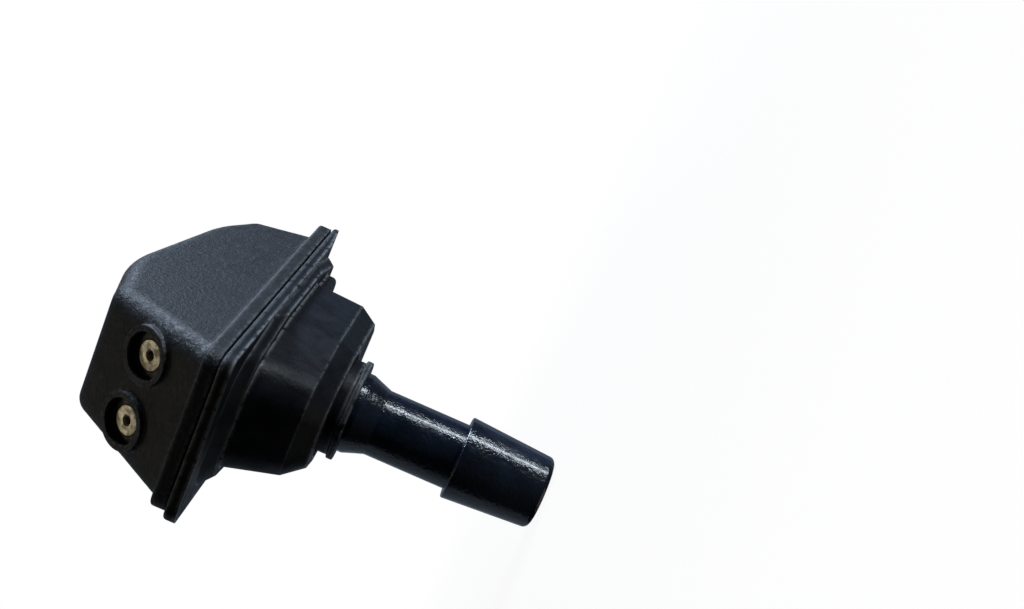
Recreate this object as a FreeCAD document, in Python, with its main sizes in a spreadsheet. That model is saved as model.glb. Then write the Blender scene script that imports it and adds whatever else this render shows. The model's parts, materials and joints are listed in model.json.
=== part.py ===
import FreeCAD, Part
import math
import os
import re

import Sketcher

# Twin-jet windscreen washer nozzle, in millimetres.
# +Z points up through the hood, the jets face -Y and the hose stem points down along -Z.
# The origin is on the stem's axis, in the plane 0.4 above the shoulder that rests on the panel.

Vector = FreeCAD.Vector
Placement = FreeCAD.Placement
Rotation = FreeCAD.Rotation

DIMENSIONS = {
    # hood
    "hood_half_width": 5.9,
    "hood_front": 12.3,
    "hood_rear": 15.3,
    "hood_front_corner": 1.5,
    "hood_rear_corner": 1.6,
    "hood_draft": 1.3,
    "crease_height": 2.2,
    "rim_height": 0.75,
    "rim_inset": 0.8,
    "roof_height": 12.5,
    "brow_height": 10.3,
    "brow_setback": 7.1,
    "brow_round": 1.3,
    "crest_height": 11.75,
    "crest_setback": 0.5,
    "crest_round": 9.0,
    "back_height": 9.25,
    "back_reach": 11.0,
    "back_round": 9.0,
    "tail_height": 6.2,
    "tail_reach": 15.9,
    "tail_round": 3.2,
    "hood_wall": 1.0,
    "side_wall": 0.7,
    "core_corner": 0.3,
    "core_rear_corner": 3.0,
    "core_step": 9.2,
    "core_ledge": 0.9,
    "hood_edge_round": 1.45,
    "plinth_half_width": 6.15,
    "plinth_front": 12.75,
    "plinth_rear": 17.7,
    "plinth_front_corner": 1.2,
    "plinth_rear_corner": 0.9,
    "plinth_bottom": 1.3,
    "plinth_top": 2.35,
    "plinth_round": 0.25,
    # jets
    "jet_spacing": 5.1,
    "jet_height": 6.3,
    "ball_radius": 1.4,
    "ball_depth": 1.2,
    "ball_flat": 0.95,
    "ball_clearance": 0.04,
    "orifice_radius": 0.28,
    "orifice_flare": 0.12,
    "inlet_radius": 0.55,
    "pocket_radius": 1.62,
    "lip_width": 0.42,
    "lip_height": 0.28,
    "press_gap": 0.02,
    "ring_front": 0.28,
    "ring_back": 0.95,
    "ring_hole": 0.9,
    "seat_front": 2.0,
    "seat_back": 2.75,
    "seat_hole": 0.8,
    # jet block inside the hood
    "block_face": 1.03,
    "block_top": 8.9,
    "block_shoulder": 6.9,
    "block_ridge": 1.0,
    "block_back": 3.5,
    "block_bottom": 2.72,
    "socket_radius": 1.66,
    "socket_depth": 2.8,
    "feed_radius": 0.55,
    "feed_height": 6.0,
    "gallery_top": 6.6,
    # body: plate, spigot, neck, collar, stem and barb
    "bore_radius": 1.4,
    "plate_top": 2.7,
    "plate_bottom": 1.7,
    "plate_gap": 0.03,
    "spigot_radius": 2.8,
    "spigot_top": 5.4,
    "spigot_gap": 0.05,
    "neck_radius": 3.45,
    "neck_rib": 0.2,
    "neck_rib_height": 0.45,
    "neck_rib_upper": 0.0,
    "neck_rib_lower": -0.75,
    "neck_bottom": -1.0,
    "collar_radius": 3.05,
    "collar_shoulder": -7.4,
    "collar_bottom": -8.95,
    "collar_round": 0.25,
    "stem_radius": 2.5,
    "barb_top": -15.25,
    "barb_radius": 3.15,
    "barb_tip_radius": 2.72,
    "barb_bottom": -22.0,
    "barb_round": 0.5,
    "barb_edge_round": 0.12,
    # seal on the spigot
    "seal_wire": 0.22,
    "seal_height": 4.3,
    "seal_groove_depth": 0.4,
    "seal_groove_half": 0.3,
    # check valve
    "chamber_radius": 1.95,
    "chamber_bottom": -8.0,
    "valve_seat_height": 0.9,
    "valve_seat_hole": 0.95,
    "valve_seat_cone": 0.4,
    "valve_ball_radius": 1.45,
    "valve_gap": 0.03,
    "cage_bottom": 0.6,
    "cage_height": 1.0,
    "cage_hole": 0.85,
    "spring_wire": 0.16,
    "spring_radius": 1.1,
    "spring_turns": 7,
    # grommet
    "flange_half_width": 6.35,
    "flange_front": 13.3,
    "flange_rear": 17.9,
    "flange_corner": 1.1,
    "flange_top": 1.15,
    "flange_bottom": 0.3,
    "flange_round": 0.25,
    "relief_start": 13.2,
    "relief_height": 0.85,
    "tray_floor": 0.65,
    "tray_gap": 0.1,
    "heel_half_width": 4.7,
    "heel_reach": 11.9,
    "heel_bottom": -1.3,
    "heel_round": 0.4,
    "plug_corner": 0.5,
    "plug_front_corner": 2.6,
    "recess_radius": 4.15,
    "recess_depth": 1.1,
    "sleeve_radius": 3.6,
    "sleeve_rib": 0.22,
    "sleeve_rib_height": 0.5,
    "sleeve_bottom": -7.0,
    "grommet_bore": 3.13,
    "neck_bore": 3.73,
    "neck_bore_bottom": -1.1,
}

# The grommet's eight-sided sections, from the shoulder under its flange to the plug's end.
SECTION_SIZES = ("height", "front", "front_half", "side_half", "side_front", "side_rear",
                 "rear", "rear_half")
SECTIONS = {
    "shoulder_top": (0.3, 11.0, 4.6, 6.25, 4.0, 8.5, 14.4, 4.8),
    "shoulder_low": (-0.4, 9.4, 4.4, 6.05, 2.5, 7.5, 13.6, 4.6),
    "plug_root": (-0.4, 8.7, 4.1, 5.4, 1.2, 6.6, 9.6, 3.4),
    "plug_waist": (-4.3, 7.4, 3.4, 5.3, 1.0, 6.4, 9.4, 3.2),
    "plug_tip": (-5.7, 6.1, 2.7, 4.5, 0.9, 6.0, 8.7, 2.8),
}
for section, numbers in SECTIONS.items():
    for size, number in zip(SECTION_SIZES, numbers):
        DIMENSIONS["%s_%s" % (section, size)] = number

doc = FreeCAD.newDocument("washer_nozzle")
sheet = doc.addObject("Spreadsheet::Sheet", "sheet")
for row, (alias, number) in enumerate(DIMENSIONS.items(), start=1):
    sheet.set("A%d" % row, alias)
    sheet.set("B%d" % row, str(number))
    sheet.setAlias("B%d" % row, alias)
doc.recompute()


def cells(text):
    """The expression with each name turned into a reference to its cell."""
    return re.sub(r"[a-z]+(_[a-z]+)+", lambda name: "sheet." + name.group(0), text)


def value(text):
    """The expression's value now."""
    return float(sheet.evalExpression(cells(text)))


# ---- sketches and features ------------------------------------------------------------------


def new_body(name):
    """A new PartDesign body."""
    return doc.addObject("PartDesign::Body", name)


def origin_plane(body, role):
    """One of the body's own origin planes."""
    return next(item for item in body.Origin.OriginFeatures if item.Role == role)


def new_sketch(body, name, plane, offset=None):
    """A sketch on an origin plane of the body, moved along its normal by the offset."""
    sketch = body.newObject("Sketcher::SketchObject", name)
    sketch.AttachmentSupport = (origin_plane(body, plane), [""])
    sketch.MapMode = "FlatFace"
    if offset:
        sketch.setExpression("AttachmentOffset.Base.z", cells(offset))
    return sketch


def fix_point(sketch, geometry, position, x, y):
    """Bind a point's two coordinates to expressions."""
    for kind, text in (("DistanceX", x), ("DistanceY", y)):
        number = value(text)
        index = sketch.addConstraint(Sketcher.Constraint(kind, -1, 1, geometry, position, number))
        sketch.setExpression("Constraints[%d]" % index, cells(text))


def corner_arc(before, corner, after, radius):
    """The round between two edges: its centre, and its start and end in travel order."""
    back = (before - corner).normalize()
    ahead = (after - corner).normalize()
    half_angle = back.getAngle(ahead) / 2
    reach = radius / math.tan(half_angle)
    middle = (back + ahead).normalize()
    centre = corner + middle * (radius / math.sin(half_angle))
    return centre, corner + back * reach, corner + ahead * reach


def outline(body, name, plane, corners, offset=None):
    """A closed outline through corners (x, y) or (x, y, radius), all bound to the sheet."""
    sketch = new_sketch(body, name, plane, offset)
    points = [Vector(value(corner[0]), value(corner[1]), 0) for corner in corners]
    count = len(points)
    rounds = []
    for index, corner in enumerate(corners):
        if len(corner) < 3:
            rounds.append(None)
            continue
        before = points[index - 1]
        after = points[(index + 1) % count]
        rounds.append(corner_arc(before, points[index], after, value(corner[2])))
    edges = []
    for index in range(count):
        following = (index + 1) % count
        start = rounds[index][2] if rounds[index] else points[index]
        end = rounds[following][1] if rounds[following] else points[following]
        edges.append(sketch.addGeometry(Part.LineSegment(start, end), False))
    for index, corner in enumerate(corners):
        if rounds[index] is None:
            add_sharp_corner(sketch, edges[index - 1], edges[index], corner)
        else:
            add_round_corner(sketch, edges[index - 1], edges[index], corner, rounds[index])
    return sketch


def add_sharp_corner(sketch, edge_in, edge_out, corner):
    """Join two edges at a fixed point."""
    sketch.addConstraint(Sketcher.Constraint("Coincident", edge_in, 2, edge_out, 1))
    fix_point(sketch, edge_out, 1, corner[0], corner[1])


def add_round_corner(sketch, edge_in, edge_out, corner, arc):
    """Join two edges with a tangent arc, their lines still meeting at the fixed corner."""
    centre, start, end = arc
    radius = value(corner[2])
    angle_start = math.atan2(start.y - centre.y, start.x - centre.x)
    angle_end = math.atan2(end.y - centre.y, end.x - centre.x)
    turn = (angle_end - angle_start) % (2 * math.pi)
    forward = turn < math.pi
    circle = Part.Circle(centre, Vector(0, 0, 1), radius)
    if forward:
        curve = Part.ArcOfCircle(circle, angle_start, angle_end)
    else:
        curve = Part.ArcOfCircle(circle, angle_end, angle_start)
    index = sketch.addGeometry(curve, False)
    near, far = (1, 2) if forward else (2, 1)
    sketch.addConstraint(Sketcher.Constraint("Tangent", edge_in, 2, index, near))
    sketch.addConstraint(Sketcher.Constraint("Tangent", index, far, edge_out, 1))
    limit = sketch.addConstraint(Sketcher.Constraint("Radius", index, radius))
    sketch.setExpression("Constraints[%d]" % limit, cells(corner[2]))
    point = Vector(value(corner[0]), value(corner[1]), 0)
    vertex = sketch.addGeometry(Part.Point(point), True)
    fix_point(sketch, vertex, 1, corner[0], corner[1])
    sketch.addConstraint(Sketcher.Constraint("PointOnObject", vertex, 1, edge_in))
    sketch.addConstraint(Sketcher.Constraint("PointOnObject", vertex, 1, edge_out))


def circle_sketch(body, name, plane, radius, x="0", y="0", offset=None):
    """One circle at (x, y)."""
    sketch = new_sketch(body, name, plane, offset)
    circle = Part.Circle(Vector(value(x), value(y), 0), Vector(0, 0, 1), value(radius))
    index = sketch.addGeometry(circle, False)
    fix_point(sketch, index, 3, x, y)
    limit = sketch.addConstraint(Sketcher.Constraint("Radius", index, value(radius)))
    sketch.setExpression("Constraints[%d]" % limit, cells(radius))
    return sketch


def pad(body, name, sketch, length, reverse=False, midplane=False):
    """Add material along the sketch's normal."""
    feature = body.newObject("PartDesign::Pad", name)
    feature.Profile = sketch
    feature.setExpression("Length", cells(length))
    feature.Reversed = reverse
    feature.Midplane = midplane
    return feature


def pocket(body, name, sketch, length, reverse=False, midplane=False):
    """Remove material, against the sketch's normal unless reversed."""
    doc.recompute()
    volume_before = body.Shape.Volume
    feature = body.newObject("PartDesign::Pocket", name)
    feature.Profile = sketch
    feature.setExpression("Length", cells(length))
    feature.Reversed = reverse
    feature.Midplane = midplane
    doc.recompute()
    if body.Shape.Volume > volume_before - 1e-6:
        raise RuntimeError(name + " removes nothing")
    return feature


def loft(body, name, first, last):
    """Add a straight-sided loft between two outlines."""
    feature = body.newObject("PartDesign::AdditiveLoft", name)
    feature.Profile = first
    feature.Sections = [last]
    feature.Ruled = True
    return feature


def revolve(body, name, sketch):
    """Turn a sketch in the XZ plane about the Z axis."""
    feature = body.newObject("PartDesign::Revolution", name)
    feature.Profile = sketch
    feature.ReferenceAxis = (origin_plane(body, "Z_Axis"), [""])
    feature.Angle = 360
    return feature


def round_edges(body, name, radius, wanted):
    """Fillet the edges of the body's tip that pass the test."""
    doc.recompute()
    base = body.Tip
    names = []
    for index, edge in enumerate(base.Shape.Edges, start=1):
        if wanted(edge):
            names.append("Edge%d" % index)
    if not names:
        raise RuntimeError(name + " finds no edge")
    feature = body.newObject("PartDesign::Fillet", name)
    feature.Base = (base, names)
    feature.setExpression("Radius", cells(radius))
    doc.recompute()
    return feature


def combine(kind, label, base, tool):
    """A Part boolean of two objects."""
    feature = doc.addObject(kind, label)
    feature.Base = base
    feature.Tool = tool
    return feature


def cylinder(label, radius, length, place):
    """A Part cylinder with bound sizes, at a placement."""
    feature = doc.addObject("Part::Cylinder", label)
    feature.setExpression("Radius", cells(radius))
    feature.setExpression("Height", cells(length))
    feature.Placement = place
    return feature


def fuse(label, pieces):
    """Part fuse of several objects."""
    feature = doc.addObject("Part::MultiFuse", label)
    feature.Shapes = pieces
    return feature


# ---- the jet axes ---------------------------------------------------------------------------

SIDES = {"left": -1, "right": 1}
BELOW_HOOD = "(rim_height - 1)"
FACE_RISE = "(brow_height - crease_height)"
FACE_RUN = "(hood_front - brow_setback)"
FACE_SLOPE = "%s / %s" % (FACE_RUN, FACE_RISE)
face_lean = math.atan2(value(FACE_RUN), value(FACE_RISE))
jet_out = Vector(0, -math.cos(face_lean), math.sin(face_lean))
jet_turn = Rotation(Vector(0, 0, 1), jet_out)


def face_line(depth, height):
    """Where the plane this deep behind the hood's face stands at a height."""
    return "-hood_front + (%s) / cos(atan(%s)) + (%s - crease_height) * %s" % (
        depth, FACE_SLOPE, height, FACE_SLOPE)


def jet_place(side, depth):
    """A placement on a jet's axis, this far behind the hood's face, its Z along the jet."""
    face_y = value(face_line("0", "jet_height"))
    face_point = Vector(side * value("jet_spacing") / 2, face_y, value("jet_height"))
    return Placement(face_point - jet_out * depth, jet_turn)


# ---- hood -----------------------------------------------------------------------------------


def rounded_plan(body, name, half, front, back, front_corner, rear_corner, height):
    """A four-sided plan with its own front and rear corner rounds, at a height."""
    corners = [
        ("-(%s)" % half, front, front_corner),
        (half, front, front_corner),
        (half, back, rear_corner),
        ("-(%s)" % half, back, rear_corner),
    ]
    return outline(body, name, "XY_Plane", corners, height)


def plan_outline(body, name, inset, height, corner="hood_front_corner", rear="hood_rear_corner"):
    """The hood's plan, drawn in from the crease outline by the inset."""
    half = "hood_half_width - (%s)" % inset
    front = "-hood_front + (%s)" % inset
    back = "hood_rear - (%s)" % inset
    return rounded_plan(body, name, half, front, back, corner, rear, height)


def roof_corners(wall):
    """The crest, back and tail of the hood's side outline, drawn in by the wall."""
    tail = "tail_reach - (%s)" % wall
    return [
        ("-crest_setback", "crest_height - (%s)" % wall, "crest_round"),
        ("back_reach - (%s)" % wall, "back_height - (%s)" % wall, "back_round"),
        (tail, "tail_height", "tail_round"),
        (tail, BELOW_HOOD),
    ]


def side_prism(label, front_corners, wall):
    """A prism across X from its front corners and the roof's."""
    prism = new_body(label)
    sketch = outline(prism, label + "_outline", "YZ_Plane", front_corners + roof_corners(wall))
    pad(prism, label + "_pad", sketch, "2 * hood_half_width + 4", midplane=True)
    return prism


def sharp_edges(shape, lowest):
    """Numbers of the edges reaching above a height where two faces meet at a clear angle."""
    found = []
    for number, edge in enumerate(shape.Edges, start=1):
        if edge.BoundBox.ZMax < lowest:
            continue
        faces = shape.ancestorsOfType(edge, Part.Face)
        if len(faces) != 2:
            continue
        middle = edge.valueAt((edge.FirstParameter + edge.LastParameter) / 2)
        normals = []
        for face in faces:
            u, v = face.Surface.parameter(middle)
            normals.append(face.normalAt(u, v))
        if normals[0].getAngle(normals[1]) > math.radians(20):
            found.append(number)
    return found


def build_hood_outside():
    """The rounded wedge: upper shell above the crease, undercut skirt below it."""
    plan = new_body("hood_plan")
    half = "hood_half_width - hood_draft"
    roof = rounded_plan(plan, "hood_plan_roof", half, face_line("0", "roof_height"),
                        "hood_rear - hood_draft", "hood_front_corner", "hood_rear_corner",
                        "roof_height")
    crease = plan_outline(plan, "hood_plan_crease", "0", "crease_height")
    loft(plan, "hood_upper", crease, roof)
    rim = plan_outline(plan, "hood_plan_rim", "rim_inset", "rim_height")
    crease_again = plan_outline(plan, "hood_plan_skirt", "0", "crease_height")
    loft(plan, "hood_skirt", rim, crease_again)
    ahead = "(hood_front + hood_wall)"
    roof_fall = "(crest_height - brow_height) / (brow_setback - crest_setback)"
    front_corners = [
        ("-%s" % ahead, BELOW_HOOD),
        ("-%s" % ahead, "brow_height - (%s - brow_setback) * %s" % (ahead, roof_fall)),
    ]
    prism = side_prism("hood_side", front_corners, "0")
    wedge = combine("Part::Common", "hood_wedge", plan, prism)
    doc.recompute()
    rounded = doc.addObject("Part::Fillet", "hood_rounded")
    rounded.Base = wedge
    radius = value("hood_edge_round")
    numbers = sharp_edges(wedge.Shape, value("crease_height + hood_edge_round / 2"))
    rounded.Edges = [(number, radius, radius) for number in numbers]
    return rounded


def build_plinth():
    """The band round the hood's foot, with a tail that reaches past the dome."""
    plinth = new_body("plinth")
    foot = rounded_plan(plinth, "plinth_outline", "plinth_half_width", "-plinth_front",
                        "plinth_rear", "plinth_front_corner", "plinth_rear_corner",
                        "plinth_bottom")
    pad(plinth, "plinth_pad", foot, "plinth_top - plinth_bottom")
    middle = value("(plinth_top + plinth_bottom) / 2")
    round_edges(plinth, "plinth_rounds", "plinth_round",
                lambda edge: edge.BoundBox.ZMin > middle)
    return plinth


def build_hood_cavity():
    """The hollow: straight walls up to the jet block's top, stepped in under the roof."""
    core = new_body("hood_core")
    inset = "rim_inset + side_wall"
    wide = plan_outline(core, "core_wide", inset, BELOW_HOOD, "core_corner", "core_rear_corner")
    pad(core, "core_wide_pad", wide, "core_step - %s" % BELOW_HOOD)
    narrow = plan_outline(core, "core_narrow", inset + " + core_ledge", BELOW_HOOD,
                          "core_corner", "core_rear_corner")
    pad(core, "core_narrow_pad", narrow, "roof_height - %s" % BELOW_HOOD)
    inner_brow = "brow_height - hood_wall"
    front_corners = [
        (face_line("hood_wall", BELOW_HOOD), BELOW_HOOD),
        (face_line("hood_wall", inner_brow), inner_brow, "brow_round"),
    ]
    prism = side_prism("core_side", front_corners, "hood_wall")
    return combine("Part::Common", "hood_cavity", core, prism)


def build_hood():
    """The moulded cover, with two lipped jet pockets through its face."""
    lips = []
    holes = []
    for name, side in SIDES.items():
        root = value("hood_wall / 2")
        lips.append(cylinder("lip_" + name, "pocket_radius + lip_width",
                             "lip_height + hood_wall / 2", jet_place(side, root)))
        holes.append(cylinder("pocket_" + name, "pocket_radius", "3 * hood_wall + lip_height",
                              jet_place(side, value("2 * hood_wall"))))
    outside = fuse("hood_solid", [build_hood_outside(), build_plinth()] + lips)
    hollow = combine("Part::Cut", "hood_hollow", outside, build_hood_cavity())
    return combine("Part::Cut", "hood", hollow, fuse("jet_pockets", holes))


# ---- jets: each a metal eyeball between a retainer ring and a rubber seat ----------------------


def build_ball_jet(name, side):
    """The eyeball: a flat front with the flared spray orifice, and a wide inlet behind."""
    label = "ball_jet_" + name
    ball = doc.addObject("Part::Sphere", label + "_sphere")
    ball.setExpression("Radius", cells("ball_radius"))
    ball.Placement = jet_place(side, value("ball_depth"))
    flat_depth = value("ball_depth - ball_flat")
    front = cylinder(label + "_front", "ball_radius", "ball_radius", jet_place(side, flat_depth))
    orifice = cylinder(label + "_orifice", "orifice_radius", "4 * ball_radius",
                       jet_place(side, value("ball_depth + 2 * ball_radius")))
    inlet = cylinder(label + "_inlet", "inlet_radius", "1.5 * ball_radius",
                     jet_place(side, value("ball_depth + 1.5 * ball_radius")))
    flare = doc.addObject("Part::Cone", label + "_flare")
    flare.setExpression("Radius1", cells("orifice_radius"))
    flare.setExpression("Radius2", cells("orifice_radius + orifice_flare"))
    flare.setExpression("Height", cells("orifice_flare"))
    flare.Placement = jet_place(side, flat_depth + value("orifice_flare"))
    cuts = fuse(label + "_cuts", [front, orifice, inlet, flare])
    return combine("Part::Cut", label, ball, cuts)


def build_jet_ring(label, side, radius, hole, front, back):
    """A ring on the jet's axis, hollowed to the ball's shape."""
    place = jet_place(side, value(back))
    length = "%s - %s" % (back, front)
    blank = cylinder(label + "_blank", radius, length, place)
    ball = doc.addObject("Part::Sphere", label + "_ball_space")
    ball.setExpression("Radius", cells("ball_radius + ball_clearance"))
    ball.Placement = jet_place(side, value("ball_depth"))
    bore = cylinder(label + "_bore", hole, length, place)
    return combine("Part::Cut", label, blank, fuse(label + "_cuts", [ball, bore]))


# ---- jet block ------------------------------------------------------------------------------


def build_jet_block():
    """The block behind the hood's face: two ball sockets fed from the spigot by a gallery."""
    block = new_body("block_blank")
    corners = [
        (face_line("block_face", "block_bottom"), "block_bottom"),
        ("block_back", "block_bottom"),
        ("block_back", "block_shoulder"),
        ("-block_ridge", "block_top"),
        (face_line("block_face", "block_top"), "block_top"),
    ]
    side = outline(block, "block_side", "YZ_Plane", corners)
    half = "hood_half_width - rim_inset - side_wall - plate_gap"
    pad(block, "block_pad", side, "2 * (%s)" % half, midplane=True)
    spigot = circle_sketch(block, "spigot_circle", "XY_Plane", "spigot_radius + spigot_gap",
                           offset="block_bottom")
    pocket(block, "spigot_socket", spigot, "spigot_top + spigot_gap - block_bottom", reverse=True)
    gallery = circle_sketch(block, "gallery_circle", "XY_Plane", "bore_radius",
                            offset="block_bottom")
    pocket(block, "gallery", gallery, "gallery_top - block_bottom", reverse=True)
    top = Vector(0, 0, value("feed_height"))
    cuts = []
    for name, side in SIDES.items():
        socket = cylinder("socket_" + name, "socket_radius", "socket_depth",
                          jet_place(side, value("socket_depth")))
        run = jet_place(side, value("socket_depth - press_gap")).Base - top
        place = Placement(top, Rotation(Vector(0, 0, 1), run))
        feed = cylinder("feed_" + name, "feed_radius", str(run.Length), place)
        cuts += [socket, feed]
    return combine("Part::Cut", "jet_block", block, fuse("block_cuts", cuts))


# ---- body -----------------------------------------------------------------------------------


def build_nozzle_body():
    """Plate, spigot, neck, collar, stem and barb in one moulding, bored right through."""
    body = new_body("nozzle_body")
    plate = plan_outline(body, "plate_outline", "rim_inset + side_wall + plate_gap",
                         "plate_bottom", "core_corner", "core_rear_corner")
    pad(body, "plate", plate, "plate_top - plate_bottom")
    groove_floor = "spigot_radius - seal_groove_depth"
    groove_high = "seal_height + seal_groove_half"
    groove_low = "seal_height - seal_groove_half"
    inside_plate = "plate_top - press_gap"
    rib = "neck_radius + neck_rib"
    rib_round = "neck_rib / 2"
    corners = [
        ("bore_radius", "spigot_top"),
        ("spigot_radius", "spigot_top", "collar_round"),
        ("spigot_radius", groove_high),
        (groove_floor, groove_high),
        (groove_floor, groove_low),
        ("spigot_radius", groove_low),
        ("spigot_radius", inside_plate),
        ("neck_radius", inside_plate),
    ]
    for foot in ("neck_rib_upper", "neck_rib_lower"):
        head = foot + " + neck_rib_height"
        corners += [
            ("neck_radius", head),
            (rib, head, rib_round),
            (rib, foot, rib_round),
            ("neck_radius", foot),
        ]
    corners += [
        ("neck_radius", "neck_bottom", rib_round),
        ("collar_radius", "neck_bottom"),
        ("collar_radius", "collar_shoulder", "collar_round"),
        ("stem_radius", "collar_bottom"),
        ("stem_radius", "barb_top"),
        ("barb_radius", "barb_top", "barb_edge_round"),
        ("barb_tip_radius", "barb_bottom", "barb_round"),
        ("bore_radius", "barb_bottom"),
    ]
    revolve(body, "stem", outline(body, "stem_outline", "XZ_Plane", corners))
    chamber = circle_sketch(body, "chamber_circle", "XY_Plane", "chamber_radius",
                            offset="chamber_bottom")
    pocket(body, "valve_chamber", chamber, "spigot_top - chamber_bottom", reverse=True)
    return body


def build_spigot_seal():
    """The O-ring in the spigot's groove."""
    ring = doc.addObject("Part::Torus", "spigot_seal")
    ring.setExpression("Radius1", cells("spigot_radius - seal_groove_depth + seal_wire"))
    ring.setExpression("Radius2", cells("seal_wire"))
    ring.setExpression("Placement.Base.z", cells("seal_height"))
    return ring


# ---- check valve: seat, ball, spring and cage --------------------------------------------------

# Where the ball rests on the seat's 45 degree cone.
VALVE_BALL_HEIGHT = ("(chamber_bottom + valve_seat_height - valve_seat_cone - valve_seat_hole"
                     " + valve_ball_radius * sqrt(2) + valve_gap)")


def build_valve_seat():
    """The rubber seat at the foot of the chamber, its hole coned to the ball."""
    seat = new_body("valve_seat")
    top = "chamber_bottom + valve_seat_height"
    outer = "chamber_radius - press_gap"
    corners = [
        ("valve_seat_hole", "chamber_bottom"),
        (outer, "chamber_bottom"),
        (outer, top),
        ("valve_seat_hole + valve_seat_cone", top),
        ("valve_seat_hole", top + " - valve_seat_cone"),
    ]
    revolve(seat, "valve_seat_ring", outline(seat, "valve_seat_outline", "XZ_Plane", corners))
    return seat


def build_valve_ball():
    """The ball that closes the seat."""
    ball = doc.addObject("Part::Sphere", "valve_ball")
    ball.setExpression("Radius", cells("valve_ball_radius"))
    ball.setExpression("Placement.Base.z", cells(VALVE_BALL_HEIGHT))
    return ball


def build_valve_cage():
    """The ring pressed into the chamber's top, which backs the spring."""
    cage = new_body("valve_cage")
    top = "cage_bottom + cage_height"
    outer = "chamber_radius - press_gap"
    corners = [
        ("cage_hole", "cage_bottom"),
        (outer, "cage_bottom"),
        (outer, top, "press_gap * 5"),
        ("cage_hole", top),
    ]
    revolve(cage, "valve_cage_ring", outline(cage, "valve_cage_outline", "XZ_Plane", corners))
    return cage


def build_valve_spring():
    """The light coil spring between the ball and the cage."""
    reach = value("sqrt((valve_ball_radius + spring_wire + valve_gap) ^ 2 - spring_radius ^ 2)")
    bottom = value(VALVE_BALL_HEIGHT) + reach
    top = value("cage_bottom - spring_wire")
    helix = doc.addObject("Part::Helix", "spring_path")
    helix.setExpression("Radius", cells("spring_radius"))
    helix.Height = top - bottom
    helix.setExpression("Pitch", "%.6f / (%s)" % (top - bottom, cells("spring_turns")))
    helix.Placement.Base = Vector(0, 0, bottom)
    section = doc.addObject("Part::Circle", "spring_section")
    section.setExpression("Radius", cells("spring_wire"))
    start = Vector(value("spring_radius"), 0, bottom)
    section.Placement = Placement(start, Rotation(Vector(1, 0, 0), 90))
    spring = doc.addObject("Part::Sweep", "valve_spring")
    doc.recompute()
    spring.Sections = [section]
    spring.Spine = (helix, ["Edge%d" % n for n in range(1, len(helix.Shape.Edges) + 1)])
    spring.Solid = True
    spring.Frenet = True
    return spring


# ---- grommet --------------------------------------------------------------------------------


def section_outline(body, section):
    """One of the grommet's eight-sided sections, at its height."""
    def size(name):
        return "%s_%s" % (section, name)

    right_side = [
        (size("front_half"), "-" + size("front"), "plug_front_corner"),
        (size("side_half"), "-" + size("side_front"), "plug_corner"),
        (size("side_half"), size("side_rear"), "plug_corner"),
        (size("rear_half"), size("rear"), "plug_corner"),
    ]
    left_side = [("-" + x, y, corner) for x, y, corner in reversed(right_side)]
    return outline(body, section, "XY_Plane", right_side + left_side, size("height"))


def build_tray():
    """The space that the hood's skirt drops into."""
    tray = new_body("tray")
    taper = "rim_inset / (crease_height - rim_height)"
    floor_inset = "(crease_height - tray_floor) * %s - tray_gap" % taper
    floor = plan_outline(tray, "tray_floor_outline", floor_inset, "tray_floor")
    mouth = plan_outline(tray, "tray_mouth_outline", "-tray_gap", "crease_height")
    loft(tray, "tray_space", floor, mouth)
    return tray


def build_sleeve(blank):
    """The ribbed sleeve that grips the collar, in a recess in the plug's end."""
    recess = circle_sketch(blank, "recess_circle", "XY_Plane", "recess_radius",
                           offset="plug_tip_height")
    pocket(blank, "recess", recess, "recess_depth", reverse=True)
    rib = "sleeve_radius + sleeve_rib"
    rib_round = "sleeve_rib / 2"
    corners = [
        ("grommet_bore", "0"),
        ("sleeve_radius", "0"),
        ("sleeve_radius", "sleeve_bottom + sleeve_rib_height"),
        (rib, "sleeve_bottom + sleeve_rib_height", rib_round),
        (rib, "sleeve_bottom", rib_round),
        ("grommet_bore", "sleeve_bottom"),
    ]
    revolve(blank, "sleeve", outline(blank, "sleeve_outline", "XZ_Plane", corners))


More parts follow.
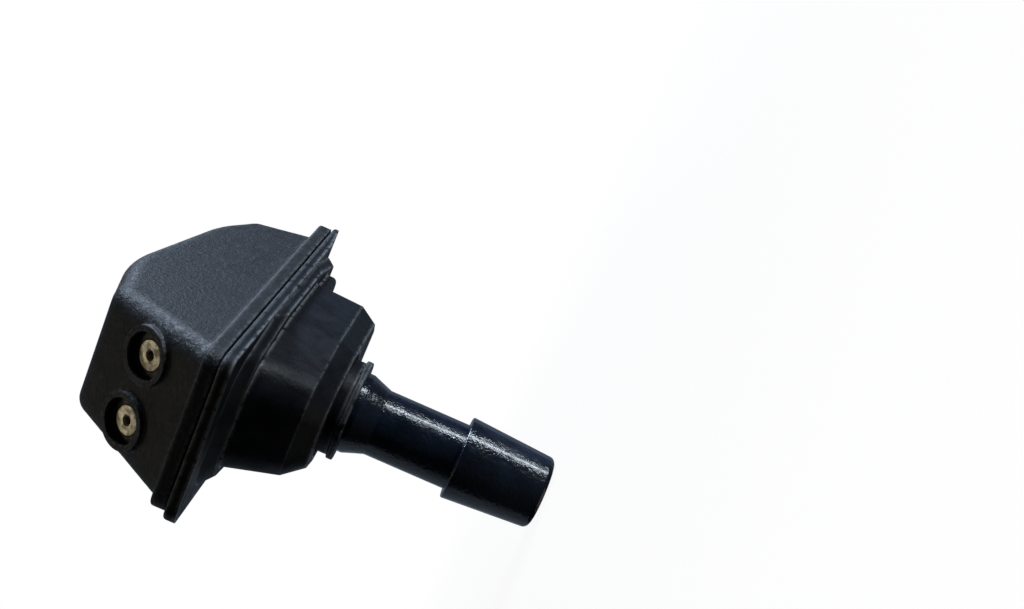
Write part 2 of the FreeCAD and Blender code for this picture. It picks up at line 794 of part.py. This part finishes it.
def build_grommet():
    """The rubber seal: trayed flange, shoulder, heel, plug and sleeve in one moulding."""
    blank = new_body("grommet_blank")
    flange = rounded_plan(blank, "flange_outline", "flange_half_width", "-flange_front",
                          "flange_rear", "flange_corner", "flange_corner", "flange_bottom")
    pad(blank, "flange", flange, "flange_top - flange_bottom")
    wedge = [
        ("relief_start", "flange_bottom"),
        ("flange_rear + 1", "flange_bottom"),
        ("flange_rear + 1", "relief_height"),
    ]
    relief = outline(blank, "relief_outline", "YZ_Plane", wedge)
    pocket(blank, "rear_relief", relief, "2 * flange_half_width + 1", midplane=True)
    round_edges(blank, "flange_rounds", "flange_round", lambda edge: (
        edge.BoundBox.ZMin > value("flange_top") - 0.01))
    low = section_outline(blank, "shoulder_low")
    loft(blank, "shoulder", low, section_outline(blank, "shoulder_top"))
    heel = rounded_plan(blank, "heel_outline", "heel_half_width", "plug_root_side_rear",
                        "heel_reach", "heel_round", "heel_round * 3", "heel_bottom")
    pad(blank, "heel", heel, "shoulder_low_height - heel_bottom")
    heel_low = value("heel_bottom") + 0.01
    round_edges(blank, "heel_rounds", "heel_round",
                lambda edge: edge.BoundBox.ZMax < heel_low)
    waist = section_outline(blank, "plug_waist")
    loft(blank, "plug", waist, section_outline(blank, "plug_root"))
    tip = section_outline(blank, "plug_tip")
    loft(blank, "plug_end", tip, section_outline(blank, "plug_waist"))
    build_sleeve(blank)
    bore = circle_sketch(blank, "grommet_bore_circle", "XY_Plane", "grommet_bore",
                         offset="sleeve_bottom")
    pocket(blank, "stem_bore", bore, "flange_top + 1 - sleeve_bottom", reverse=True)
    neck = circle_sketch(blank, "neck_bore_circle", "XY_Plane", "neck_bore",
                         offset="neck_bore_bottom")
    pocket(blank, "neck_seat", neck, "flange_top + 1 - neck_bore_bottom", reverse=True)
    return combine("Part::Cut", "grommet_seal", blank, build_tray())


# ---- the assembly, checked and written ---------------------------------------------------------

nodes = {
    "hood": build_hood(),
    "jet_block": build_jet_block(),
    "nozzle_body": build_nozzle_body(),
    "spigot_seal": build_spigot_seal(),
    "valve_seat": build_valve_seat(),
    "valve_ball": build_valve_ball(),
    "valve_spring": build_valve_spring(),
    "valve_cage": build_valve_cage(),
    "grommet_seal": build_grommet(),
}
for side_name, side_sign in SIDES.items():
    nodes["ball_jet_" + side_name] = build_ball_jet(side_name, side_sign)
    ring_name = "retainer_ring_" + side_name
    nodes[ring_name] = build_jet_ring(ring_name, side_sign, "pocket_radius - press_gap",
                                      "ring_hole", "ring_front", "ring_back")
    seat_name = "ball_seat_" + side_name
    nodes[seat_name] = build_jet_ring(seat_name, side_sign, "socket_radius - press_gap",
                                      "seat_hole", "seat_front", "seat_back")
doc.recompute()

for item in doc.Objects:
    if "Invalid" in item.State or "Error" in item.State:
        raise RuntimeError("%s failed: %s" % (item.Label, item.State))
for node, item in nodes.items():
    item.Label = node
    if item.Shape.isNull() or not item.Shape.isValid():
        raise RuntimeError(node + " has no valid shape")

os.makedirs("parts", exist_ok=True)
for node, item in nodes.items():
    item.Shape.exportStep(os.path.join("parts", node + ".step"))
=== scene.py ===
import json
import math

import bpy
from mathutils import Matrix, Vector


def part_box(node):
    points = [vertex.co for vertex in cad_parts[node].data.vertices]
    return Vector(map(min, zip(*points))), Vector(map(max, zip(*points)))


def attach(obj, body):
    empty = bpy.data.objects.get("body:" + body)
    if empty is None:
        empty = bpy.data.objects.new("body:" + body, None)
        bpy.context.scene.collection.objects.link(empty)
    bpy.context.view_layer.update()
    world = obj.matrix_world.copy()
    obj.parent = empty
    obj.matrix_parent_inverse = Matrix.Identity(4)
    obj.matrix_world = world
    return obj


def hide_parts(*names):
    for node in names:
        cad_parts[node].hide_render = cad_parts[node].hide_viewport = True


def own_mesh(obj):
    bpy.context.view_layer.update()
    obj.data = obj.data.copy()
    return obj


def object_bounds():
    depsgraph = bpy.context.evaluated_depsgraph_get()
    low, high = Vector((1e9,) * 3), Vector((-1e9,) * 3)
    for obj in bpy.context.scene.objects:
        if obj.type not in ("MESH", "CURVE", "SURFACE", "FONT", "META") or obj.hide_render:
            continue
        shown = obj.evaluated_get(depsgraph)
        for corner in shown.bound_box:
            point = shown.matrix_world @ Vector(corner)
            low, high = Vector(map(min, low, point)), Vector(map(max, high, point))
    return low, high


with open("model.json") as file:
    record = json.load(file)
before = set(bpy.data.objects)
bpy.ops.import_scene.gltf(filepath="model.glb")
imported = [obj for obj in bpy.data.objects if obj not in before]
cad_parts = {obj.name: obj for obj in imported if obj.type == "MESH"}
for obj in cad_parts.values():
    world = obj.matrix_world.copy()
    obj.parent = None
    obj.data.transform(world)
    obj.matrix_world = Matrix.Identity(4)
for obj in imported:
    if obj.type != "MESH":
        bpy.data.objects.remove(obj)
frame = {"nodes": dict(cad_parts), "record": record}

# Looks for the twin-jet washer nozzle. Metres everywhere; the textures work in millimetres.
# The hood points along +Z, the jets face -Y and the hose stem hangs along -Z.

MM = 0.001
cad_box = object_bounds()


# ---- node helpers ------------------------------------------------------------------------------

COAT_ROUGHNESS = 0.12
BEVEL_SAMPLES = 6
# The cosine between a face's normal and its bevelled one where an edge starts and is full.
EDGE_STARTS = 0.998
EDGE_FULL = 0.93
# A colour Mix node's two colour inputs, which share their names with its other inputs.
MIX_COLOURS = (6, 7)
MIX_RESULT = 2
# The sideways part of the skin's normal over which a rounded corner fades in, and then out.
CORNER_FADES_IN = (0.25, 0.45)
CORNER_FADES_OUT = (0.975, 0.88)


class Shader:
    """A Principled material that is built up step by step."""

    def __init__(self, name, roughness, metallic=0.0, specular=0.5, coat=0.0):
        self.material = bpy.data.materials.new(name)
        self.material.use_nodes = True
        self.tree = self.material.node_tree
        self.principled = self.tree.nodes["Principled BSDF"]
        self.principled.inputs["Roughness"].default_value = roughness
        self.principled.inputs["Metallic"].default_value = metallic
        self.principled.inputs["Specular IOR Level"].default_value = specular
        self.principled.inputs["Coat Weight"].default_value = coat
        self.principled.inputs["Coat Roughness"].default_value = COAT_ROUGHNESS
        self.normal = None
        coordinates = self.add("ShaderNodeTexCoord")
        mapping = self.add("ShaderNodeMapping")
        mapping.inputs["Scale"].default_value = (1 / MM, 1 / MM, 1 / MM)
        self.link(coordinates.outputs["Object"], mapping.inputs["Vector"])
        self.millimetres = mapping.outputs["Vector"]

    def add(self, kind, **values):
        """A node, with its settings given by name."""
        node = self.tree.nodes.new(kind)
        for key, item in values.items():
            setattr(node, key, item)
        return node

    def link(self, output, socket):
        """Joins two sockets."""
        self.tree.links.new(output, socket)

    def noise(self, size, detail=2.0, rough=0.5, stretch=None):
        """Noise from 0 to 1 whose blobs are about `size` millimetres across."""
        texture = self.add("ShaderNodeTexNoise")
        texture.inputs["Scale"].default_value = 1 / size
        texture.inputs["Detail"].default_value = detail
        texture.inputs["Roughness"].default_value = rough
        vector = self.millimetres
        if stretch:
            mapping = self.add("ShaderNodeMapping")
            mapping.inputs["Scale"].default_value = stretch
            self.link(vector, mapping.inputs["Vector"])
            vector = mapping.outputs["Vector"]
        self.link(vector, texture.inputs["Vector"])
        return texture.outputs["Fac"]

    def ramp(self, value, low, high, start=0.0, end=1.0):
        """Maps low..high to start..end, clamped and smooth."""
        node = self.add("ShaderNodeMapRange", interpolation_type="SMOOTHSTEP")
        node.inputs["From Min"].default_value = low
        node.inputs["From Max"].default_value = high
        node.inputs["To Min"].default_value = start
        node.inputs["To Max"].default_value = end
        self.link(value, node.inputs["Value"])
        return node.outputs["Result"]

    def math(self, operation, first, second):
        """One arithmetic step on two values, each a socket or a number."""
        node = self.add("ShaderNodeMath", operation=operation)
        for socket, item in zip(node.inputs, (first, second)):
            if isinstance(item, (int, float)):
                socket.default_value = item
            else:
                self.link(item, socket)
        return node.outputs["Value"]

    def blend(self, factor, low, high):
        """A colour between two, by a 0..1 value. Each colour is a tuple or a socket."""
        node = self.add("ShaderNodeMix", data_type="RGBA")
        self.link(factor, node.inputs["Factor"])
        for index, colour in zip(MIX_COLOURS, (low, high)):
            socket = node.inputs[index]
            if isinstance(colour, tuple):
                socket.default_value = colour + (1.0,)
            else:
                self.link(colour, socket)
        return node.outputs[MIX_RESULT]

    def edges(self, width):
        """About 1 within `width` millimetres of a sharp edge, 0 on the faces."""
        bevel = self.add("ShaderNodeBevel", samples=BEVEL_SAMPLES)
        bevel.inputs["Radius"].default_value = width * MM
        geometry = self.add("ShaderNodeNewGeometry")
        dot = self.add("ShaderNodeVectorMath", operation="DOT_PRODUCT")
        self.link(bevel.outputs["Normal"], dot.inputs[0])
        self.link(geometry.outputs["Normal"], dot.inputs[1])
        return self.ramp(dot.outputs["Value"], EDGE_STARTS, EDGE_FULL)

    def rounded_sides(self):
        """About 1 where the skin turns from facing sideways to facing ahead or up."""
        coordinates = self.add("ShaderNodeTexCoord")
        split = self.add("ShaderNodeSeparateXYZ")
        self.link(coordinates.outputs["Normal"], split.inputs["Vector"])
        sideways = self.math("ABSOLUTE", split.outputs["X"], 0.0)
        return self.math("MULTIPLY", self.ramp(sideways, *CORNER_FADES_IN),
                         self.ramp(sideways, *CORNER_FADES_OUT))

    def colour(self, value):
        """The base colour, from a socket."""
        self.link(value, self.principled.inputs["Base Color"])

    def roughness(self, value):
        """The roughness, from a socket."""
        self.link(value, self.principled.inputs["Roughness"])

    def bump(self, height, depth):
        """Adds relief `depth` millimetres deep to the surface."""
        node = self.add("ShaderNodeBump")
        node.inputs["Strength"].default_value = 1.0
        node.inputs["Distance"].default_value = depth * MM
        self.link(height, node.inputs["Height"])
        if self.normal:
            self.link(self.normal, node.inputs["Normal"])
        self.normal = node.outputs["Normal"]
        self.link(self.normal, self.principled.inputs["Normal"])

    def soften(self, radius):
        """Shades sharp edges as if rounded by `radius` millimetres."""
        bevel = self.add("ShaderNodeBevel", samples=BEVEL_SAMPLES)
        bevel.inputs["Radius"].default_value = radius * MM
        self.normal = bevel.outputs["Normal"]
        self.link(self.normal, self.principled.inputs["Normal"])


# ---- materials ---------------------------------------------------------------------------------


def hood_plastic():
    """Spark-textured black plastic, greyed by weather; its sharp edges are rubbed lighter, partly
    wear and partly a painted highlight, and its rounded corners carry a painted highlight.
    """
    shader = Shader("hood_plastic", roughness=0.55, specular=0.4)
    shader.soften(0.12)
    cloud = shader.noise(1.3, detail=5.0, rough=0.65)
    grain = shader.noise(0.42, detail=4.0, rough=0.8)
    base = shader.blend(shader.ramp(cloud, 0.3, 0.75), (0.014, 0.0155, 0.018),
                        (0.021, 0.0235, 0.0275))
    speckle = shader.ramp(grain, 0.50, 0.70)
    base = shader.blend(shader.math("MULTIPLY", speckle, 0.6), base, (0.066, 0.071, 0.082))
    pits = shader.ramp(shader.noise(0.5, detail=3.0, rough=0.7), 0.46, 0.34)
    base = shader.blend(shader.math("MULTIPLY", pits, 0.5), base, (0.006, 0.0062, 0.006))
    patchy = shader.ramp(shader.noise(0.35, detail=4.0, rough=0.7), 0.40, 0.58)
    # Sharp edges painted pale: partly rubbed wear, partly a painted highlight where the edges
    # catch the light.
    wear_and_edge_highlight = shader.math("MULTIPLY", shader.edges(0.5), patchy)
    base = shader.blend(shader.math("MULTIPLY", wear_and_edge_highlight, 0.8), base, (0.17, 0.175, 0.18))
    # Painted highlight: the rounded corners between the sides and the front or roof are painted
    # pale, broken up by the grain speckle.
    painted_corner_highlight = shader.math("MULTIPLY", shader.rounded_sides(), speckle)
    base = shader.blend(shader.math("MULTIPLY", painted_corner_highlight, 0.75), base, (0.27, 0.285, 0.30))
    shader.colour(base)
    shader.roughness(shader.ramp(cloud, 0.3, 0.75, 0.42, 0.56))
    shader.bump(grain, 0.10)
    return shader.material


def body_plastic():
    """Glossy blue-black plastic with an orange-peel skin."""
    shader = Shader("body_plastic", roughness=0.2, specular=0.6, coat=0.4)
    shader.soften(0.08)
    cloud = shader.noise(2.2, detail=3.0)
    shader.colour(shader.blend(shader.ramp(cloud, 0.3, 0.7), (0.008, 0.012, 0.022),
                               (0.017, 0.026, 0.048)))
    smear = shader.noise(0.8, detail=4.0, stretch=(1.0, 1.0, 0.35))
    shader.roughness(shader.ramp(smear, 0.3, 0.75, 0.14, 0.32))
    shader.bump(shader.noise(0.8, detail=1.0), 0.045)
    shader.bump(shader.noise(0.32, detail=2.0, rough=0.7), 0.05)
    return shader.material


def grommet_rubber():
    """Black rubber with a faint bloom, dust in its skin, and rubbed, shinier edges painted pale,
    partly wear and partly a painted highlight.
    """
    shader = Shader("grommet_rubber", roughness=0.5, specular=0.3)
    shader.soften(0.15)
    cloud = shader.noise(2.0, detail=4.0, rough=0.6)
    base = shader.blend(shader.ramp(cloud, 0.35, 0.72), (0.004, 0.005, 0.009),
                        (0.010, 0.013, 0.021))
    dust = shader.ramp(shader.noise(0.18, detail=3.0), 0.60, 0.74)
    base = shader.blend(shader.math("MULTIPLY", dust, 0.3), base, (0.055, 0.055, 0.052))
    patchy = shader.ramp(shader.noise(0.6, detail=3.0), 0.30, 0.50)
    # Edges painted pale: partly rubbed wear, partly a painted highlight along the edges.
    wear_and_edge_highlight = shader.math("MULTIPLY", shader.edges(0.45), patchy)
    base = shader.blend(shader.math("MULTIPLY", wear_and_edge_highlight, 0.9), base, (0.32, 0.33, 0.34))
    shader.colour(base)
    shader.roughness(shader.math("SUBTRACT", shader.ramp(cloud, 0.3, 0.7, 0.40, 0.60),
                                 shader.math("MULTIPLY", wear_and_edge_highlight, 0.25)))
    shader.bump(shader.noise(0.9, detail=2.0), 0.040)
    shader.bump(shader.noise(0.2, detail=2.0), 0.018)
    return shader.material


def block_plastic():
    """Plain black moulding with flow marks."""
    shader = Shader("block_plastic", roughness=0.5, specular=0.4)
    shader.soften(0.08)
    flow = shader.noise(1.5, detail=3.0, stretch=(1.0, 0.4, 1.0))
    shader.colour(shader.blend(shader.ramp(flow, 0.3, 0.7), (0.012, 0.012, 0.013),
                               (0.028, 0.029, 0.031)))
    shader.roughness(shader.ramp(flow, 0.3, 0.7, 0.4, 0.6))
    shader.bump(shader.noise(0.3, detail=2.0), 0.02)
    return shader.material


def ring_plastic():
    """Hard black plastic of the small pressed rings, with fine turning lines."""
    shader = Shader("ring_plastic", roughness=0.4, specular=0.45)
    shader.soften(0.04)
    speck = shader.noise(0.4, detail=3.0)
    shader.colour(shader.blend(shader.ramp(speck, 0.35, 0.7), (0.006, 0.006, 0.007),
                               (0.016, 0.016, 0.018)))
    shader.roughness(shader.ramp(speck, 0.3, 0.7, 0.35, 0.55))
    shader.bump(shader.noise(0.12, detail=2.0), 0.008)
    return shader.material


def seal_rubber():
    """Soft black sealing rubber."""
    shader = Shader("seal_rubber", roughness=0.7, specular=0.3)
    cloud = shader.noise(0.8, detail=3.0)
    shader.colour(shader.blend(shader.ramp(cloud, 0.3, 0.7), (0.010, 0.010, 0.010),
                               (0.024, 0.024, 0.023)))
    shader.roughness(shader.ramp(cloud, 0.3, 0.7, 0.6, 0.8))
    shader.bump(shader.noise(0.15, detail=2.0), 0.012)
    return shader.material


def jet_metal():
    """Pale, dulled metal of the eyeballs, with lime specks and fine scratches."""
    shader = Shader("jet_brass", roughness=0.4, metallic=0.7)
    shader.soften(0.04)
    tarnish = shader.ramp(shader.noise(0.5, detail=4.0, rough=0.65), 0.35, 0.68)
    base = shader.blend(tarnish, (0.86, 0.79, 0.64), (0.46, 0.42, 0.34))
    lime = shader.ramp(shader.noise(0.16, detail=3.0), 0.62, 0.72)
    base = shader.blend(shader.math("MULTIPLY", lime, 0.5), base, (0.66, 0.64, 0.58))
    shader.colour(base)
    shader.roughness(shader.ramp(tarnish, 0.0, 1.0, 0.28, 0.55))
    shader.bump(shader.noise(0.09, detail=2.0, stretch=(1.0, 5.0, 5.0)), 0.010)
    return shader.material


def valve_steel():
    """Bright stainless steel of the valve's ball and spring."""
    shader = Shader("valve_steel", roughness=0.22, metallic=1.0)
    stain = shader.noise(0.7, detail=3.0)
    shader.colour(shader.blend(shader.ramp(stain, 0.3, 0.7), (0.62, 0.62, 0.61),
                               (0.46, 0.455, 0.44)))
    shader.roughness(shader.ramp(stain, 0.3, 0.7, 0.16, 0.32))
    shader.bump(shader.noise(0.1, detail=2.0, stretch=(1.0, 1.0, 4.0)), 0.004)
    return shader.material


MATERIALS = {
    "hood_plastic": hood_plastic(),
    "body_plastic": body_plastic(),
    "grommet_rubber": grommet_rubber(),
    "block_plastic": block_plastic(),
    "ring_plastic": ring_plastic(),
    "seal_rubber": seal_rubber(),
    "jet_brass": jet_metal(),
    "valve_steel": valve_steel(),
}
slots = {item["node"]: item["material_slot"] for item in frame["record"]["subparts"]}
for node, thing in frame["nodes"].items():
    material = MATERIALS[slots[node]]
    if not thing.material_slots:
        thing.data.materials.append(material)
    for slot in thing.material_slots:
        slot.material = material


# ---- the valve's spring ------------------------------------------------------------------------

WIRE_RADIUS = 0.16 * MM
COIL_TURNS = 7
COIL_STEPS = 36
WIRE_SIDES = 12


def make_coil():
    """A round-wire spring in the CAD spring's place, moving with the nozzle."""
    low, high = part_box("valve_spring")
    radius = (high[0] - low[0]) / 2 - WIRE_RADIUS
    bottom = low[2] + WIRE_RADIUS
    rise = high[2] - low[2] - 2 * WIRE_RADIUS
    rings = COIL_TURNS * COIL_STEPS + 1
    points = []
    for ring in range(rings):
        turn = 2 * math.pi * ring / COIL_STEPS
        height = bottom + rise * ring / (rings - 1)
        for side in range(WIRE_SIDES):
            angle = 2 * math.pi * side / WIRE_SIDES
            reach = radius + WIRE_RADIUS * math.cos(angle)
            points.append((reach * math.cos(turn), reach * math.sin(turn),
                           height + WIRE_RADIUS * math.sin(angle)))
    faces = [tuple(range(WIRE_SIDES)),
             tuple(reversed(range((rings - 1) * WIRE_SIDES, rings * WIRE_SIDES)))]
    for ring in range(rings - 1):
        start = ring * WIRE_SIDES
        for side in range(WIRE_SIDES):
            after = (side + 1) % WIRE_SIDES
            faces.append((start + side, start + side + WIRE_SIDES,
                          start + after + WIRE_SIDES, start + after))
    mesh = bpy.data.meshes.new("valve_coil")
    mesh.from_pydata(points, [], faces)
    mesh.validate()
    mesh.shade_smooth()
    mesh.materials.append(MATERIALS["valve_steel"])
    coil = bpy.data.objects.new("valve_coil", mesh)
    bpy.context.scene.collection.objects.link(coil)
    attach(coil, "nozzle")
    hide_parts("valve_spring")
    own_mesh(coil)


make_coil()


# ---- stage -------------------------------------------------------------------------------------

STAGE_SIDES = 96
STAGE_GAP = 0.2 * MM
STAGE_COLOUR = (0.86, 0.86, 0.85, 1.0)
STAGE_STRENGTH = 0.06
STAGE_CLEAR = 0.02
STAGE_FADE = 0.09


def stage_material():
    """A faint pale floor that fades out into the background away from the object."""
    material = bpy.data.materials.new("stage")
    material.use_nodes = True
    nodes = material.node_tree.nodes
    links = material.node_tree.links
    nodes.clear()
    output = nodes.new("ShaderNodeOutputMaterial")
    mix = nodes.new("ShaderNodeMixShader")
    clear = nodes.new("ShaderNodeBsdfTransparent")
    pale = nodes.new("ShaderNodeBsdfDiffuse")
    pale.inputs["Color"].default_value = STAGE_COLOUR
    place = nodes.new("ShaderNodeTexCoord")
    length = nodes.new("ShaderNodeVectorMath")
    length.operation = "LENGTH"
    fade = nodes.new("ShaderNodeMapRange")
    fade.interpolation_type = "SMOOTHSTEP"
    fade.inputs["From Min"].default_value = STAGE_CLEAR
    fade.inputs["From Max"].default_value = STAGE_FADE
    fade.inputs["To Min"].default_value = 1.0 - STAGE_STRENGTH
    links.new(place.outputs["Object"], length.inputs[0])
    links.new(length.outputs["Value"], fade.inputs["Value"])
    links.new(fade.outputs["Result"], mix.inputs["Fac"])
    links.new(pale.outputs["BSDF"], mix.inputs[1])
    links.new(clear.outputs["BSDF"], mix.inputs[2])
    links.new(mix.outputs["Shader"], output.inputs["Surface"])
    return material


def make_stage():
    """A round floor just under the stem's end."""
    bpy.ops.mesh.primitive_circle_add(vertices=STAGE_SIDES, radius=STAGE_FADE,
                                      fill_type="NGON",
                                      location=(0, 0, cad_box[0][2] - STAGE_GAP))
    floor = bpy.context.object
    floor.name = "stage_floor"
    floor.data.materials.append(stage_material())


def make_world():
    """A white surround that the camera sees, lighting the object only a little."""
    world = bpy.data.worlds.new("surround")
    world.use_nodes = True
    background = world.node_tree.nodes["Background"]
    background.inputs["Color"].default_value = (1.0, 1.0, 1.0, 1.0)
    background.inputs["Strength"].default_value = 1.0
    world.cycles_visibility.diffuse = False
    world.cycles_visibility.glossy = False
    bpy.context.scene.world = world
    bpy.context.scene.view_settings.view_transform = "Standard"


# ---- lights and camera -------------------------------------------------------------------------

# The camera's own directions, and where it stands, in the part's frame.
CAMERA_RIGHT = Vector((0.394, 0.099, -0.914)).normalized()
CAMERA_BACK = Vector((0.331, -0.943, 0.041)).normalized()
CAMERA_UP = CAMERA_BACK.cross(CAMERA_RIGHT).normalized()
CAMERA_PLACE = Vector((42.86, -86.38, -10.54)) * MM
FOCAL_LENGTH = 46.1
SENSOR_WIDTH = 36.0

COOL = (0.66, 0.80, 1.0)
PALE_BLUE = (0.82, 0.92, 1.0)
WARM = (1.0, 0.90, 0.68)
# Name, direction from the object, distance in metres, size in metres, power in watts, colour.
LIGHTS = (
    ("key", Vector((0.58, 0.40, 0.71)), 0.16, (0.06, 0.06), 0.27, COOL),
    ("strip", Vector((0.98, 0.06, -0.16)), 0.16, (0.014, 0.10), 0.12, PALE_BLUE),
    ("glint", Vector((-0.454, -0.222, 0.856)), 0.16, (0.05, 0.05), 0.011, WARM),
    ("fill", CAMERA_BACK - CAMERA_RIGHT * 0.8, 0.25, (0.16, 0.16), 0.015, WARM),
    ("bounce", CAMERA_RIGHT - CAMERA_UP * 0.6, 0.2, (0.10, 0.10), 0.02, WARM),
    ("rear", CAMERA_UP * 0.2 - CAMERA_BACK, 0.3, (0.5, 0.5), 0.17, COOL),
    ("far", Vector((-1.0, 0.2, 0.2)), 0.3, (0.5, 0.5), 0.16, COOL),
)


def aim(right, up, place):
    """The matrix of a camera that looks against right x up."""
    back = right.cross(up)
    turn = Matrix((right, up, back)).transposed().to_4x4()
    return Matrix.Translation(place) @ turn


def add_softbox(name, direction, distance, size, power, colour):
    """A flat softbox that faces the middle of the object from a direction."""
    light = bpy.data.lights.new(name, "AREA")
    light.shape = "RECTANGLE"
    light.size, light.size_y = size
    light.energy = power
    light.color = colour
    lamp = bpy.data.objects.new(name, light)
    bpy.context.scene.collection.objects.link(lamp)
    middle = (Vector(cad_box[0]) + Vector(cad_box[1])) / 2
    back = direction.normalized()
    lamp.matrix_world = Matrix.Translation(middle + back * distance) @ (
        back.to_track_quat("Z", "Y").to_matrix().to_4x4())


def make_lights():
    """A cool key from behind the roof, a strip for the stem's gloss and weak fills."""
    for light in LIGHTS:
        add_softbox(*light)


def make_camera():
    """The camera, ahead of the jets, with the stem towards its right."""
    camera = bpy.data.cameras.new("camera")
    camera.lens = FOCAL_LENGTH
    camera.sensor_width = SENSOR_WIDTH
    camera.clip_start = MM
    holder = bpy.data.objects.new("camera", camera)
    bpy.context.scene.collection.objects.link(holder)
    holder.matrix_world = aim(CAMERA_RIGHT, CAMERA_UP, CAMERA_PLACE)
    bpy.context.scene.camera = holder


make_stage()
make_world()
make_lights()
make_camera()
